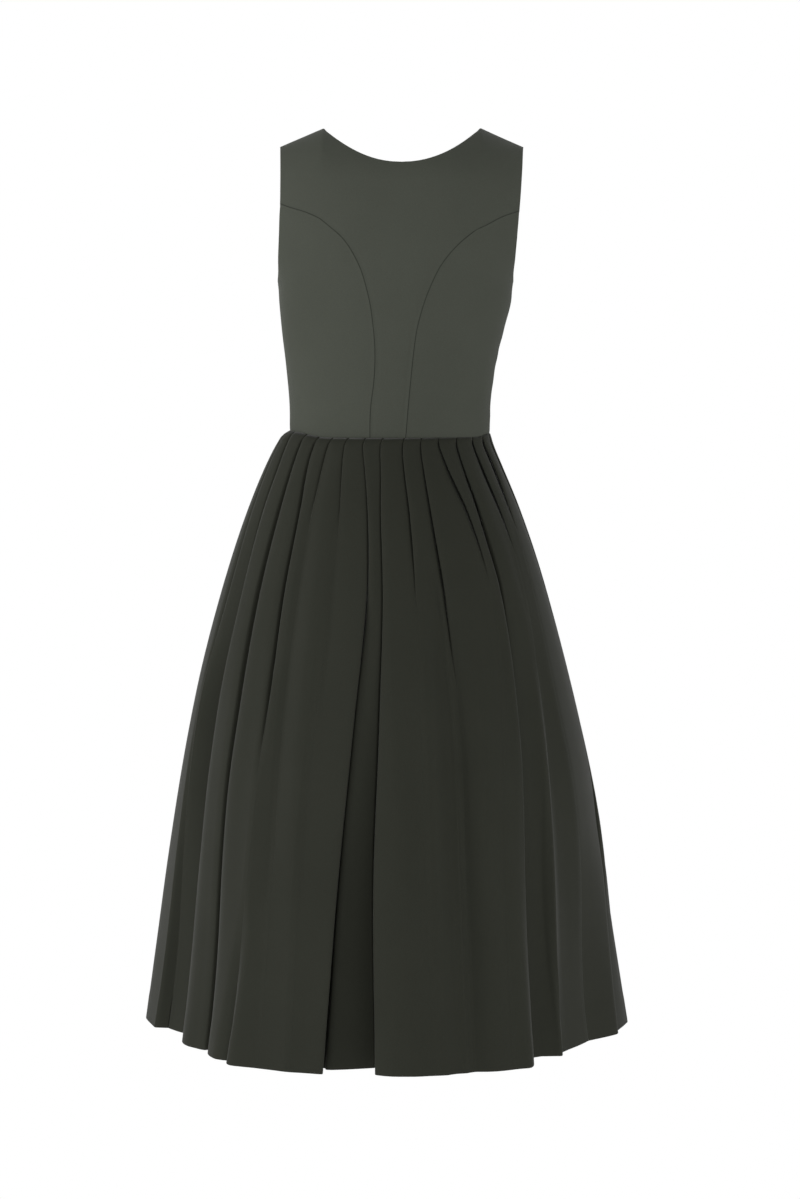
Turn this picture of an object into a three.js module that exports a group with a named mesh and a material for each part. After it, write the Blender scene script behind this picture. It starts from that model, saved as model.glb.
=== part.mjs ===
// A sleeveless dirndl, worn but empty: a fitted bodice with curved princess seams and a full
// skirt laid in knife pleats at the waist. Millimetres, +Z up. The back of the dress faces -Y.
// The origin is midway between the two shoulder points at the neck, where the wearer carries it.
import * as THREE from "three";

// ---- Driving sizes ----
const bodiceWall = 1.3;
const skirtWall = 1.0;
const seamGap = 0.3;
const shoulderHalf = 157.5; // centre line to shoulder tip
const neckHalf = 102; // centre line to the shoulder point at the neck
const shoulderFall = 24; // tip below neck point
const shoulderRound = 70; // reach of the roll from shoulder seam to upright cloth
const rootHalf = 172; // half the breadth that the armholes are cut back from
const rootSquareness = 2.5;
const underarm = -200; // height of the armhole's lowest point
const waist = -397; // height of the waist seam
const backNeck = -47; // lowest point of the neckline, back
const frontNeck = -112; // lowest point of the neckline, front
const neckRoundness = 2.1; // how sharply the neckline turns up towards the shoulder
const hem = -1171;
const pleatCount = 30;
const hemHalfWidth = 316;

// The bodice in level sections. back and front are its depths from the side seams.
const torsoSections = [
  { z: -397, halfWidth: 130, back: 90, front: 94, centre: -16, squareness: 2.0 },
  { z: -355, halfWidth: 130.5, back: 92, front: 97, centre: -15.5, squareness: 2.02 },
  { z: -303, halfWidth: 136, back: 97, front: 106, centre: -14.5, squareness: 2.06 },
  { z: -263, halfWidth: 142.8, back: 103, front: 114, centre: -12.5, squareness: 2.1 },
  { z: -224, halfWidth: 150, back: 109, front: 119, centre: -9, squareness: 2.16 },
  { z: -200, halfWidth: 152.3, back: 112, front: 119, centre: -8.5, squareness: 2.2 },
  { z: -165, halfWidth: 164, back: 113, front: 114, centre: -6.5, squareness: 2.3 },
  { z: -125, halfWidth: 171, back: 112, front: 107, centre: -4, squareness: 2.4 },
  { z: -60, halfWidth: 172, back: 106, front: 96, centre: -1, squareness: 2.5 },
  { z: 0, halfWidth: 172, back: 98, front: 88, centre: 0, squareness: 2.5 },
];
const bust = { across: 88, z: -226, out: 25, reach: 50, above: 78, below: 54 };

// Seam and edge routes on the bodice: across is the distance from the centre line.
const backPrincess = [
  { across: 23, z: -397 },
  { across: 25.5, z: -355 },
  { across: 28, z: -303 },
  { across: 34, z: -250 },
  { across: 44.5, z: -206 },
  { across: 62, z: -168 },
  { across: 86, z: -137 },
  { across: 118, z: -117 },
  { across: 153, z: -104 },
];
const backArmholeAbove = [
  { across: 153, z: -104 },
  { across: 154.5, z: -64 },
  { across: 157.5, z: -24 },
];
const backArmholeBelow = [
  { across: 153, z: -104 },
  { across: 152.4, z: -134 },
  { across: 152.2, z: -165 },
  { across: 151.6, z: -187 },
  { across: 152.3, z: -200 },
];
const frontPrincess = [
  { across: 60, z: -397 },
  { across: 67, z: -340 },
  { across: 78, z: -285 },
  { across: 87, z: -230 },
  { across: 98, z: -180 },
  { across: 118, z: -138 },
  { across: 143.5, z: -112 },
];
const frontArmholeAbove = [
  { across: 143.5, z: -112 },
  { across: 144.5, z: -85 },
  { across: 149, z: -54 },
  { across: 157.5, z: -24 },
];
const frontArmholeBelow = [
  { across: 143.5, z: -112 },
  { across: 144.5, z: -140 },
  { across: 149, z: -168 },
  { across: 151.4, z: -188 },
  { across: 152.3, z: -200 },
];

// How the skirt spreads: share is the way down from waist to hem, spread the share of its flare.
const skirtSpread = [
  { share: 0, spread: 0, centre: -16 },
  { share: 0.02, spread: 0.045, centre: -19 },
  { share: 0.05, spread: 0.098, centre: -22 },
  { share: 0.12, spread: 0.217, centre: -23 },
  { share: 0.22, spread: 0.368, centre: -24 },
  { share: 0.36, spread: 0.53, centre: -24 },
  { share: 0.5, spread: 0.66, centre: -23 },
  { share: 0.7, spread: 0.814, centre: -21 },
  { share: 0.85, spread: 0.908, centre: -20 },
  { share: 1, spread: 1, centre: -19 },
];
const skirtWaist = { halfWidth: 131.4, back: 91.6, front: 95.6 };
const skirtHem = { halfWidth: hemHalfWidth, back: 312, front: 308 };
const rowShares = [
  0, 0.015, 0.035, 0.065, 0.1, 0.14, 0.185, 0.235, 0.29, 0.345, 0.4, 0.46, 0.53, 0.6, 0.68, 0.78,
  0.89, 1,
];

// One row for each pleat, going round from the wearer's left over the back to the right, then
// over the front. waist, mid and hem are the angles of its folded edge from the middle of the
// back. It stays folded down to the share opens, and lies flat from the share flat on (2 means
// it never does). depth is how deep it stands at the hem, lean which way it falls there: 1 flat
// under the panel on its right, -1 under the one on its left. left and right say how far those
// two panels are set back from the skirt's outline at the hem.
const backFolds = [
  { waist: -82, mid: -72, hem: -79, opens: 0.6, flat: 2, depth: 9, lean: 0.7, left: 22, right: 30 },
  { waist: -68, mid: -63.5, hem: -64, opens: 0.6, flat: 2, depth: 10, lean: 0.6, left: 30, right: 18 },
  { waist: -53, mid: -50.5, hem: -50, opens: 0.6, flat: 2, depth: 9, lean: 0.6, left: 22, right: 18 },
  { waist: -42, mid: -38, hem: -39, opens: 0.34, flat: 0.6, depth: 0, lean: 0, left: 18, right: -4 },
  { waist: -32, mid: -30.5, hem: -30, opens: 0.2, flat: 0.5, depth: 0, lean: 0, left: 2, right: 2 },
  { waist: -22.5, mid: -18, hem: -22, opens: 0.08, flat: 0.26, depth: 0, lean: 0, left: 3, right: 3 },
  { waist: -12, mid: -6.5, hem: -13.5, opens: 0.04, flat: 2, depth: 8, lean: -0.3, left: 2, right: 56 },
  { waist: -2, mid: -1, hem: 0, opens: 0.3, flat: 2, depth: 6, lean: 0.3, left: 48, right: 0 },
  { waist: 9, mid: 11, hem: 10, opens: 0.14, flat: 0.32, depth: 0, lean: 0, left: 0, right: 0 },
  { waist: 19, mid: 22, hem: 20, opens: 0.34, flat: 0.66, depth: 0, lean: 0, left: 0, right: 0 },
  { waist: 29.5, mid: 35, hem: 29, opens: 0.06, flat: 0.3, depth: 0, lean: 0, left: 0, right: 0 },
  { waist: 41.5, mid: 44.5, hem: 37, opens: 0.04, flat: 2, depth: 8, lean: -0.3, left: 6, right: 38 },
  { waist: 54, mid: 55, hem: 50, opens: 0.04, flat: 0.28, depth: 0, lean: 0, left: 30, right: 30 },
  { waist: 66, mid: 65, hem: 66, opens: 0.2, flat: 0.62, depth: 0, lean: 0, left: 40, right: 36 },
  { waist: 79, mid: 79, hem: 80, opens: 0.3, flat: 2, depth: 10, lean: 0.3, left: 16, right: 12 },
];
const frontFolds = [
  { waist: 94, mid: 95, hem: 96, opens: 0.2, flat: 0.5, depth: 0, lean: 0, left: 2, right: 0 },
  { waist: 107, mid: 110, hem: 109, opens: 0.6, flat: 2, depth: 9, lean: 0.4, left: 0, right: 10 },
  { waist: 120, mid: 124, hem: 125, opens: 0.34, flat: 2, depth: 8, lean: 0.3, left: 24, right: 0 },
  { waist: 132, mid: 135, hem: 137, opens: 0.14, flat: 0.36, depth: 0, lean: 0, left: 0, right: 0 },
  { waist: 143, mid: 145, hem: 147, opens: 0.08, flat: 0.3, depth: 0, lean: 0, left: 2, right: 4 },
  { waist: 153.5, mid: 154, hem: 156, opens: 0.1, flat: 2, depth: 8, lean: -0.3, left: 0, right: 26 },
  { waist: 164, mid: 166, hem: 169, opens: 0.4, flat: 2, depth: 8, lean: 0.3, left: 24, right: 0 },
  { waist: 174.5, mid: 176, hem: 178, opens: 0.14, flat: 0.4, depth: 0, lean: 0, left: 0, right: 0 },
  { waist: 185, mid: 187, hem: 188, opens: 0.2, flat: 0.44, depth: 0, lean: 0, left: 0, right: 0 },
  { waist: 195.5, mid: 197, hem: 198, opens: 0.38, flat: 0.7, depth: 0, lean: 0, left: 3, right: 4 },
  { waist: 206.5, mid: 209, hem: 210, opens: 0.5, flat: 2, depth: 10, lean: 0.4, left: 4, right: 22 },
  { waist: 218, mid: 220, hem: 222, opens: 0.1, flat: 0.36, depth: 0, lean: 0, left: 14, right: 10 },
  { waist: 230.5, mid: 233, hem: 235, opens: 0.4, flat: 2, depth: 9, lean: 0.3, left: 6, right: 8 },
  { waist: 244, mid: 247, hem: 248, opens: 0.24, flat: 0.5, depth: 0, lean: 0, left: 6, right: 4 },
  { waist: 260, mid: 263, hem: 261, opens: 0.44, flat: 2, depth: 8, lean: 0.4, left: -4, right: -8 },
];
const folds = [...backFolds, ...frontFolds];
const layerStep = 1.6; // wall to wall inside a folded pleat at the waist
const foldedTuck = 24.4; // how far a folded pleat reaches under its neighbour
const waistMouth = 4.5; // the dip beside a folded edge

// ---- Tables and curves ----
const degrees = Math.PI / 180;

// A column of a table at a place between its rows, on a smooth curve through them.
function readTable(rows, key, column, place) {
  const last = rows.length - 1;
  if (place <= rows[0][key]) return rows[0][column];
  if (place >= rows[last][key]) return rows[last][column];
  let i = 0;
  while (rows[i + 1][key] < place) i++;
  const slope = (p, q) => (rows[q][column] - rows[p][column]) / (rows[q][key] - rows[p][key]);
  const span = rows[i + 1][key] - rows[i][key];
  const here = slope(i, i + 1);
  const startSlope = i > 0 ? (slope(i - 1, i) + here) / 2 : here;
  const endSlope = i + 1 < last ? (here + slope(i + 1, i + 2)) / 2 : here;
  const t = (place - rows[i][key]) / span;
  const rise = rows[i + 1][column] - rows[i][column];
  return (
    rows[i][column] +
    rise * t * t * (3 - 2 * t) +
    span * t * (1 - t) * (startSlope * (1 - t) - endSlope * t)
  );
}

function smoothStep(from, to, value) {
  const t = Math.min(1, Math.max(0, (value - from) / (to - from)));
  return t * t * (3 - 2 * t);
}

function mix(a, b, t) {
  return a + (b - a) * t;
}

// ---- The bodice's surface ----
// A place on it is a Vector2: x is the turn from the centre line, as millimetres at mmPerRadian,
// and y the distance down the cloth from the top of the shoulder.
const mmPerRadian = 140;
const topFall = (across) =>
  (shoulderFall * Math.max(0, Math.abs(across) - neckHalf)) / (shoulderHalf - neckHalf);

function shoulderTop(turn) {
  return -topFall(rootHalf * Math.pow(Math.abs(Math.sin(turn)), 2 / rootSquareness));
}

function bodicePoint(side, place) {
  const turn = place.x / mmPerRadian;
  const down = Math.max(0, place.y);
  const rolled = Math.min(down / shoulderRound, Math.PI / 2);
  const straight = Math.max(0, down - (shoulderRound * Math.PI) / 2);
  const z = shoulderTop(turn) - shoulderRound * (1 - Math.cos(rolled)) - straight;
  const section = (column) => readTable(torsoSections, "z", column, z);
  const power = 2 / section("squareness");
  const across =
    Math.sign(turn) * section("halfWidth") * Math.pow(Math.abs(Math.sin(turn)), power);
  let depth = section(side < 0 ? "back" : "front");
  depth *= Math.pow(Math.max(0, Math.cos(turn)), power);
  if (side > 0) {
    const high = (z - bust.z) / (z > bust.z ? bust.above : bust.below);
    const wide = (Math.abs(across) - bust.across) / bust.reach;
    depth += bust.out * Math.exp(-wide * wide - high * high) * Math.cos(turn);
  }
  return new THREE.Vector3(section("centre") + across, side * depth * Math.sin(rolled), z);
}

function bodiceNormal(side, place) {
  const step = 0.5;
  const at = (dx, dy) => bodicePoint(side, new THREE.Vector2(place.x + dx, place.y + dy));
  const down = Math.max(step, place.y);
  const alongX = at(step, down - place.y).sub(at(-step, down - place.y));
  const alongY = at(0, down - place.y + step).sub(at(0, down - place.y - step));
  return alongX.cross(alongY).multiplyScalar(-side).normalize();
}

// The place of a point given by its distance from the centre line and its height.
function placeOf(across, z) {
  const section = (column) => readTable(torsoSections, "z", column, z);
  const share = Math.min(1, Math.abs(across) / section("halfWidth"));
  const turn = Math.asin(Math.pow(share, section("squareness") / 2));
  const fall = Math.max(0, shoulderTop(turn) - z);
  const down =
    fall < shoulderRound
      ? shoulderRound * Math.acos(1 - fall / shoulderRound)
      : (shoulderRound * Math.PI) / 2 + fall - shoulderRound;
  return new THREE.Vector2(Math.sign(across) * turn * mmPerRadian, down);
}

// Evenly spaced places along a route given in rows of across and z.
function route(rows, steps, mirror = 1) {
  const curve = new THREE.SplineCurve(rows.map((r) => placeOf(mirror * r.across, r.z)));
  return curve.getSpacedPoints(steps);
}

// A level line, such as the waist seam, between two distances from the centre line.
function levelLine(from, to, z, fractions) {
  return fractions.map((fraction) => placeOf(mix(from, to, fraction), z));
}

function evenFractions(steps) {
  return Array.from({ length: steps + 1 }, (_, i) => i / steps);
}

// How far along an edge each of its points lies, from 0 to 1.
function lengthFractions(edge) {
  const lengths = [0];
  for (let i = 1; i < edge.length; i++) lengths.push(lengths[i - 1] + edge[i].distanceTo(edge[i - 1]));
  return lengths.map((length) => length / lengths[edge.length - 1]);
}

// A curved neckline from the centre line to the shoulder point, then the shoulder seam.
function neckAndShoulder(lowest, neckSteps, shoulderSteps, mirror = 1) {
  const curve = evenFractions(24).map((share) => {
    const rise = Math.pow(share, neckRoundness);
    return placeOf(mirror * neckHalf * share, mix(lowest, 0, rise));
  });
  const places = new THREE.SplineCurve(curve).getSpacedPoints(neckSteps);
  for (let i = 1; i <= shoulderSteps; i++) {
    const across = mix(neckHalf, shoulderHalf, i / shoulderSteps);
    places.push(new THREE.Vector2(placeOf(mirror * across, -topFall(across)).x, 0));
  }
  return places;
}

// ---- Panels: a sheet between four edges, cut smaller by half a seam gap, then given its wall ----
function insetOutline(outline, distance) {
  const count = outline.length;
  let area = 0;
  outline.forEach((p, i) => (area += p.cross(outline[(i + 1) % count])));
  return outline.map((p, i) => {
    const before = p.clone().sub(outline[(i + count - 1) % count]).normalize();
    const after = outline[(i + 1) % count].clone().sub(p).normalize();
    const normal = new THREE.Vector2(-before.y - after.y, before.x + after.x).normalize();
    const cosine = Math.max(0.4, normal.x * -after.y + normal.y * after.x);
    return p.clone().addScaledVector(normal, (Math.sign(area) * distance) / cosine);
  });
}

// The top edge's own shape comes in above the share topStart of the way up the sides.
function panelPlaces(bottom, right, top, left, fractions, topStart = 0) {
  const across = bottom.length - 1;
  const up = right.length - 1;
  const loop = [
    ...bottom.slice(0, across),
    ...right.slice(0, up),
    ...top.slice(1).reverse(),
    ...left.slice(1).reverse(),
  ];
  const cut = insetOutline(loop, seamGap / 2);
  const edge = (start, length) =>
    Array.from({ length: length + 1 }, (_, i) => cut[(start + i) % cut.length]);
  const b = edge(0, across);
  const r = edge(across, up);
  const t = edge(across + up, across).reverse();
  const l = edge(2 * across + up, up).reverse();
  const rows = [];
  for (let j = 0; j <= up; j++) {
    const v = Math.max(0, (j / up - topStart) / (1 - topStart));
    rows.push(
      b.map((_, i) => {
        const u = fractions[i];
        const blend = (axis) =>
          mix(b[i][axis], t[i][axis], v) +
          mix(l[j][axis], r[j][axis], u) -
          mix(mix(b[0][axis], b[across][axis], u), mix(t[0][axis], t[across][axis], u), v);
        return new THREE.Vector2(blend("x"), blend("y"));
      }),
    );
  }
  return rows;
}

// A closed shell from an outer and an inner grid of points, wall by wall. Each cell is split
// from its lower left to its upper right corner, or along its shorter diagonal.
function shellGeometry(outer, inner, alongShorter) {
  const rows = outer.length;
  const columns = outer[0].length;
  const positions = [...outer.flat(), ...inner.flat()].flatMap((p) => [p.x, p.y, p.z]);
  const triangles = [];
  const at = (layer, j, i) => layer * rows * columns + j * columns + i;
  const quad = (a, b, c, d) => triangles.push(a, b, c, a, c, d);
  const isShort = (j, i) =>
    !alongShorter ||
    outer[j][i].distanceTo(outer[j + 1][i + 1]) < outer[j][i + 1].distanceTo(outer[j + 1][i]);
  for (let j = 0; j < rows - 1; j++) {
    for (let i = 0; i < columns - 1; i++) {
      const corners = (layer) => {
        const loop = [at(layer, j, i), at(layer, j, i + 1), at(layer, j + 1, i + 1), at(layer, j + 1, i)];
        return isShort(j, i) ? loop : [...loop.slice(1), loop[0]];
      };
      quad(...corners(0));
      const [a, b, c, d] = corners(1);
      quad(a, d, c, b);
    }
    const end = columns - 1;
    quad(at(0, j, 0), at(0, j + 1, 0), at(1, j + 1, 0), at(1, j, 0));
    quad(at(0, j, end), at(1, j, end), at(1, j + 1, end), at(0, j + 1, end));
  }
  const top = rows - 1;
  for (let i = 0; i < columns - 1; i++) {
    quad(at(0, 0, i), at(1, 0, i), at(1, 0, i + 1), at(0, 0, i + 1));
    quad(at(0, top, i), at(0, top, i + 1), at(1, top, i + 1), at(1, top, i));
  }
  const geometry = new THREE.BufferGeometry();
  geometry.setAttribute("position", new THREE.Float32BufferAttribute(positions, 3));
  geometry.setIndex(triangles);
  geometry.computeVertexNormals();
  return geometry;
}

function turnedOutwards(geometry) {
  const p = geometry.getAttribute("position");
  const index = geometry.getIndex();
  const [a, b, c] = [0, 0, 0].map(() => new THREE.Vector3());
  let volume = 0;
  for (let i = 0; i < index.count; i += 3) {
    a.fromBufferAttribute(p, index.getX(i));
    b.fromBufferAttribute(p, index.getX(i + 1));
    c.fromBufferAttribute(p, index.getX(i + 2));
    volume += a.dot(b.cross(c));
  }
  if (volume < 0) {
    for (let i = 0; i < index.count; i += 3) {
      const swap = index.getX(i + 1);
      index.setX(i + 1, index.getX(i + 2));
      index.setX(i + 2, swap);
    }
    geometry.computeVertexNormals();
  }
  return geometry;
}

function bodicePanel(side, places) {
  const offset = (distance) =>
    places.map((row) =>
      row.map((place) =>
        bodicePoint(side, place).addScaledVector(bodiceNormal(side, place), distance),
      ),
    );
  return turnedOutwards(shellGeometry(offset(bodiceWall / 2), offset(-bodiceWall / 2), true));
}

// ---- Bodice pieces ----
const seamSteps = { princess: 9, armholeAbove: 5, armholeBelow: 4, neck: 7, shoulder: 2 };

function centreBackPlaces() {
  const halfTop = neckAndShoulder(backNeck, seamSteps.neck, seamSteps.shoulder);
  const mirrorTop = neckAndShoulder(backNeck, seamSteps.neck, seamSteps.shoulder, -1);
  const top = [...mirrorTop.reverse(), ...halfTop.slice(1)];
  const sideEdge = (mirror) => [
    ...route(backPrincess, seamSteps.princess, mirror),
    ...route(backArmholeAbove, seamSteps.armholeAbove, mirror).slice(1),
  ];
  const seamFoot = backPrincess[0].across;
  const fractions = lengthFractions(top);
  const bottom = levelLine(-seamFoot, seamFoot, waist, fractions);
  const corner = seamSteps.princess / (seamSteps.princess + seamSteps.armholeAbove);
  return panelPlaces(bottom, sideEdge(1), top, sideEdge(-1), fractions, corner);
}

function sidePanelPlaces(princess, armhole, mirror) {
  const top = route(armhole, seamSteps.armholeBelow, mirror);
  const fractions = evenFractions(seamSteps.armholeBelow);
  const sideSeamFoot = mirror * torsoSections[0].halfWidth;
  const bottom = levelLine(mirror * princess[0].across, sideSeamFoot, waist, fractions);
  const inner = route(princess, seamSteps.princess, mirror);
  const outer = [];
  for (let j = 0; j <= seamSteps.princess; j++) {
    const z = mix(waist, underarm, j / seamSteps.princess);
    outer.push(placeOf(mirror * readTable(torsoSections, "z", "halfWidth", z), z));
  }
  return panelPlaces(bottom, outer, top, inner, fractions);
}

function centreFrontPlaces(mirror) {
  const top = neckAndShoulder(frontNeck, seamSteps.neck, seamSteps.shoulder, mirror);
  const outer = [
    ...route(frontPrincess, seamSteps.princess, mirror),
    ...route(frontArmholeAbove, seamSteps.armholeAbove, mirror).slice(1),
  ];
  const steps = outer.length - 1;
  const inner = Array.from({ length: steps + 1 }, (_, j) =>
    placeOf(0, mix(waist, frontNeck, j / steps)),
  );
  const fractions = lengthFractions(top);
  const bottom = levelLine(0, mirror * frontPrincess[0].across, waist, fractions);
  return panelPlaces(bottom, outer, top, inner, fractions, seamSteps.princess / steps);
}

// ---- The skirt's pleated wall ----
// A row's outline, the surface that its folded edges touch, at an angle from the middle back.
function skirtOutline(share, angle) {
  const spread = readTable(skirtSpread, "share", "spread", share);
  const size = (name) => mix(skirtWaist[name], skirtHem[name], spread);
  const halfWidth = size("halfWidth");
  const depth = size(Math.cos(angle) > 0 ? "back" : "front");
  const centre = readTable(skirtSpread, "share", "centre", share);
  const point = new THREE.Vector2(
    centre + halfWidth * Math.sin(angle),
    -depth * Math.cos(angle),
  );
  const along = new THREE.Vector2(halfWidth * Math.cos(angle), depth * Math.sin(angle));
  const pace = along.length();
  const inward = new THREE.Vector2(-along.y, along.x).divideScalar(pace);
  return { point, inward, pace };
}

function foldAngle(fold, share) {
  const waistToMid = mix(fold.waist, fold.mid, smoothStep(0, 0.3, share));
  return mix(waistToMid, fold.hem, smoothStep(0.3, 1, share)) * degrees;
}

// How a pleat lies at a share of the way down. It is folded flat at the waist and turns from
// there to its lean at the hem; mouth is the width of the dip on the left of its folded edge.
function pleatState(fold, share) {
  const stays = fold.flat > 1;
  const opened = smoothStep(fold.opens, stays ? 1 : fold.flat, share);
  const lean = mix(1, fold.lean, stays ? smoothStep(fold.opens, fold.opens + 0.35, share) : opened);
  return {
    lean,
    folded: Math.sin((Math.abs(lean) * Math.PI) / 2),
    standing: Math.cos((lean * Math.PI) / 2),
    tuck: foldedTuck * (1 - 0.2 * smoothStep(0, 0.14, share)) * (stays ? 1 : 1 - opened),
    depth: mix(foldedTuck, stays ? fold.depth : 0, opened),
    mouth: waistMouth + 4 * smoothStep(0, 0.4, share) + (stays ? 2 : 24) * opened,
    step: layerStep * mix(1, 2, smoothStep(0, 0.5, share)) * (stays ? 1 : 1 - opened),
    left: fold.left * smoothStep(0.25, 1, share),
    right: fold.right * smoothStep(0.25, 1, share),
  };
}

// A pleat's six points from the end of the panel on its left to its folded edge: u runs to the
// right along the outline from the folded edge, v inwards from it. room is how far a tuck can
// reach on either side. A pleat that lies flat is mixed with one that stands straight in.
function pleatPoints(state, room) {
  const { lean, folded, standing, depth, mouth, step, left, right } = state;
  const toRight = lean > 0;
  const reach = Math.min(state.tuck, toRight ? room.right : room.left);
  const deeper = Math.max(left, right);
  const forward = toRight ? mix((left + deeper) / 2, deeper, folded) : left;
  const back = toRight ? right : mix((right + deeper) / 2, deeper, folded);
  const point = (along, base, flatU, flatV, standV) => ({
    u: folded * flatU - standing * mouth * (1 - along),
    v: base + folded * flatV * step + standing * depth * standV,
  });
  const far = toRight ? reach : -mouth - reach;
  return [
    { u: -mouth, v: left },
    point(0.12, forward, toRight ? -1.3 : -mouth, toRight ? 2 : 1, 0.5),
    point(0.4, deeper, far, toRight ? 4 : 3, 1),
    point(0.6, deeper, far, toRight ? 3 : 4, 1),
    point(0.88, back, toRight ? 0 : 1.3 - mouth, toRight ? 1 : 2, 0.5),
    { u: 0, v: right },
  ];
}

// One level ring of the wall's middle, as Vector2 points in the order of the cloth.
function skirtRing(share) {
  const count = folds.length;
  const turn = 2 * Math.PI;
  const angles = folds.map((fold) => foldAngle(fold, share));
  const states = folds.map((fold) => pleatState(fold, share));
  const paceAt = (angle) => skirtOutline(share, angle).pace;
  return folds.map((fold, j) => {
    const pace = paceAt(angles[j]);
    const [before, after] = [(j + count - 1) % count, (j + 1) % count];
    const angleAhead = (angles[after] - angles[j] + turn) % turn;
    const angleBehind = (angles[j] - angles[before] + turn) % turn;
    const ahead = angleAhead * paceAt(angles[j] + angleAhead / 2);
    const behind = angleBehind * paceAt(angles[j] - angleBehind / 2);
    const next = states[after];
    const room = {
      right: ahead - next.mouth + waistMouth * next.folded - 3 * (1 - next.folded),
      left: behind - states[j].mouth - states[before].tuck - 3,
    };
    return pleatPoints(states[j], room).map(({ u, v }) => {
      const place = skirtOutline(share, angles[j] + u / paceAt(angles[j] + u / (2 * pace)));
      return place.point.addScaledVector(place.inward, v);
    });
  });
}

// The stretch of cloth between the side seams, which lie at the bottom of two pleats.
function skirtStretch(share, firstPleat, lastPleat) {
  const ring = skirtRing(share);
  const seam = (pleat, turn) => {
    const [inner, outer] = [ring[pleat % folds.length][2], ring[pleat % folds.length][3]];
    const middle = inner.clone().add(outer).multiplyScalar(0.5);
    const away = outer.clone().sub(inner).normalize();
    return middle.addScaledVector(away, (turn * seamGap) / 2);
  };
  const line = [seam(firstPleat, 1), ...ring[firstPleat].slice(3)];
  for (let j = firstPleat + 1; j < lastPleat; j++) line.push(...ring[j]);
  line.push(...ring[lastPleat % folds.length].slice(0, 3), seam(lastPleat, -1));
  return line;
}

function offsetLine(line, distance) {
  return line.map((p, i) => {
    const before = i > 0 ? p.clone().sub(line[i - 1]).normalize() : null;
    const after = i < line.length - 1 ? line[i + 1].clone().sub(p).normalize() : null;
    const a = before ?? after;
    const b = after ?? before;
    const normal = new THREE.Vector2(a.y + b.y, -a.x - b.x).normalize();
    const cosine = Math.max(0.62, normal.x * b.y - normal.y * b.x);
    return p.clone().addScaledVector(normal, distance / cosine);
  });
}

function skirtPiece(firstPleat, lastPleat) {
  const top = waist - seamGap;
  const layer = (distance) =>
    rowShares.map((share) => {
      const line = skirtStretch(share, firstPleat, lastPleat);
      const z = mix(top, hem, share);
      return offsetLine(line, distance).map((p) => new THREE.Vector3(p.x, p.y, z));
    });
  return turnedOutwards(shellGeometry(layer(skirtWall / 2), layer(-skirtWall / 2), false));
}

// ---- The dress ----
const bodiceCloth = new THREE.MeshStandardMaterial({ color: 0x4a4f44, roughness: 0.85 });
const skirtCloth = new THREE.MeshStandardMaterial({ color: 0x33352e, roughness: 0.85 });
const half = pleatCount / 2;
const pieces = {
  back_centre: bodicePanel(-1, centreBackPlaces()),
  back_side_left: bodicePanel(-1, sidePanelPlaces(backPrincess, backArmholeBelow, -1)),
  back_side_right: bodicePanel(-1, sidePanelPlaces(backPrincess, backArmholeBelow, 1)),
  front_centre_left: bodicePanel(1, centreFrontPlaces(-1)),
  front_centre_right: bodicePanel(1, centreFrontPlaces(1)),
  front_side_left: bodicePanel(1, sidePanelPlaces(frontPrincess, frontArmholeBelow, -1)),
  front_side_right: bodicePanel(1, sidePanelPlaces(frontPrincess, frontArmholeBelow, 1)),
  skirt_back: skirtPiece(0, half),
  skirt_front: skirtPiece(half, pleatCount),
};

const dress = new THREE.Group();
for (const [name, geometry] of Object.entries(pieces)) {
  const mesh = new THREE.Mesh(geometry, name.startsWith("skirt") ? skirtCloth : bodiceCloth);
  mesh.name = name;
  dress.add(mesh);
}

export default dress;
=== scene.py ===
# A sleeveless dirndl dress: a fitted bodice of seven panels and a skirt of two pleated halves.
import math

import bpy
import numpy as np
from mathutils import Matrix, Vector, noise


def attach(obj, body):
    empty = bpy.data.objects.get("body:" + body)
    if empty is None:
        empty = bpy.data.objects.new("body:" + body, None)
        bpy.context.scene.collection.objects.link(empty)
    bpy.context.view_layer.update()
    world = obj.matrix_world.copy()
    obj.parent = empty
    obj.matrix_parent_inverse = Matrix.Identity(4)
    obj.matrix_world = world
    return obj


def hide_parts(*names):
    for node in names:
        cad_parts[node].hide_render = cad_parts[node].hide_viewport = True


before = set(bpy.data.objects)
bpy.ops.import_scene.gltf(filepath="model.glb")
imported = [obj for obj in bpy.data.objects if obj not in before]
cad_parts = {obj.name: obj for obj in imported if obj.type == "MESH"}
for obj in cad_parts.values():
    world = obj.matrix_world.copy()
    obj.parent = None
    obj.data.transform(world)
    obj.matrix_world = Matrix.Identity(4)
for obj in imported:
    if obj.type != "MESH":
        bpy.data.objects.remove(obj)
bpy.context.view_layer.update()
bpy.ops.object.select_all(action="DESELECT")
print("frame loaded:", len(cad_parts), "cloth pieces")


# Curves and tables. Lengths are millimetres until a mesh is made, which is in metres.
def tableOf(columns, rows):
    return [dict(zip(columns.split(), row)) for row in rows]


def mix(a, b, t):
    return a + (b - a) * t


def smoothStep(start, end, value):
    t = min(1, max(0, (value - start) / (end - start)))
    return t * t * (3 - 2 * t)


def bell(distance, width):
    return math.exp(-((distance / width) ** 2))


def readTable(rows, key, column, place):  # a column, on a smooth curve through the rows
    last = len(rows) - 1
    if place <= rows[0][key]:
        return rows[0][column]
    if place >= rows[last][key]:
        return rows[last][column]
    i = 0
    while rows[i + 1][key] < place:
        i += 1

    def slope(p, q):
        return (rows[q][column] - rows[p][column]) / (rows[q][key] - rows[p][key])

    span = rows[i + 1][key] - rows[i][key]
    here = slope(i, i + 1)
    startSlope = (slope(i - 1, i) + here) / 2 if i > 0 else here
    endSlope = (here + slope(i + 1, i + 2)) / 2 if i + 1 < last else here
    t = (place - rows[i][key]) / span
    rise = rows[i + 1][column] - rows[i][column]
    eased = rise * t * t * (3 - 2 * t)
    return rows[i][column] + eased + span * t * (1 - t) * (startSlope * (1 - t) - endSlope * t)


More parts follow.
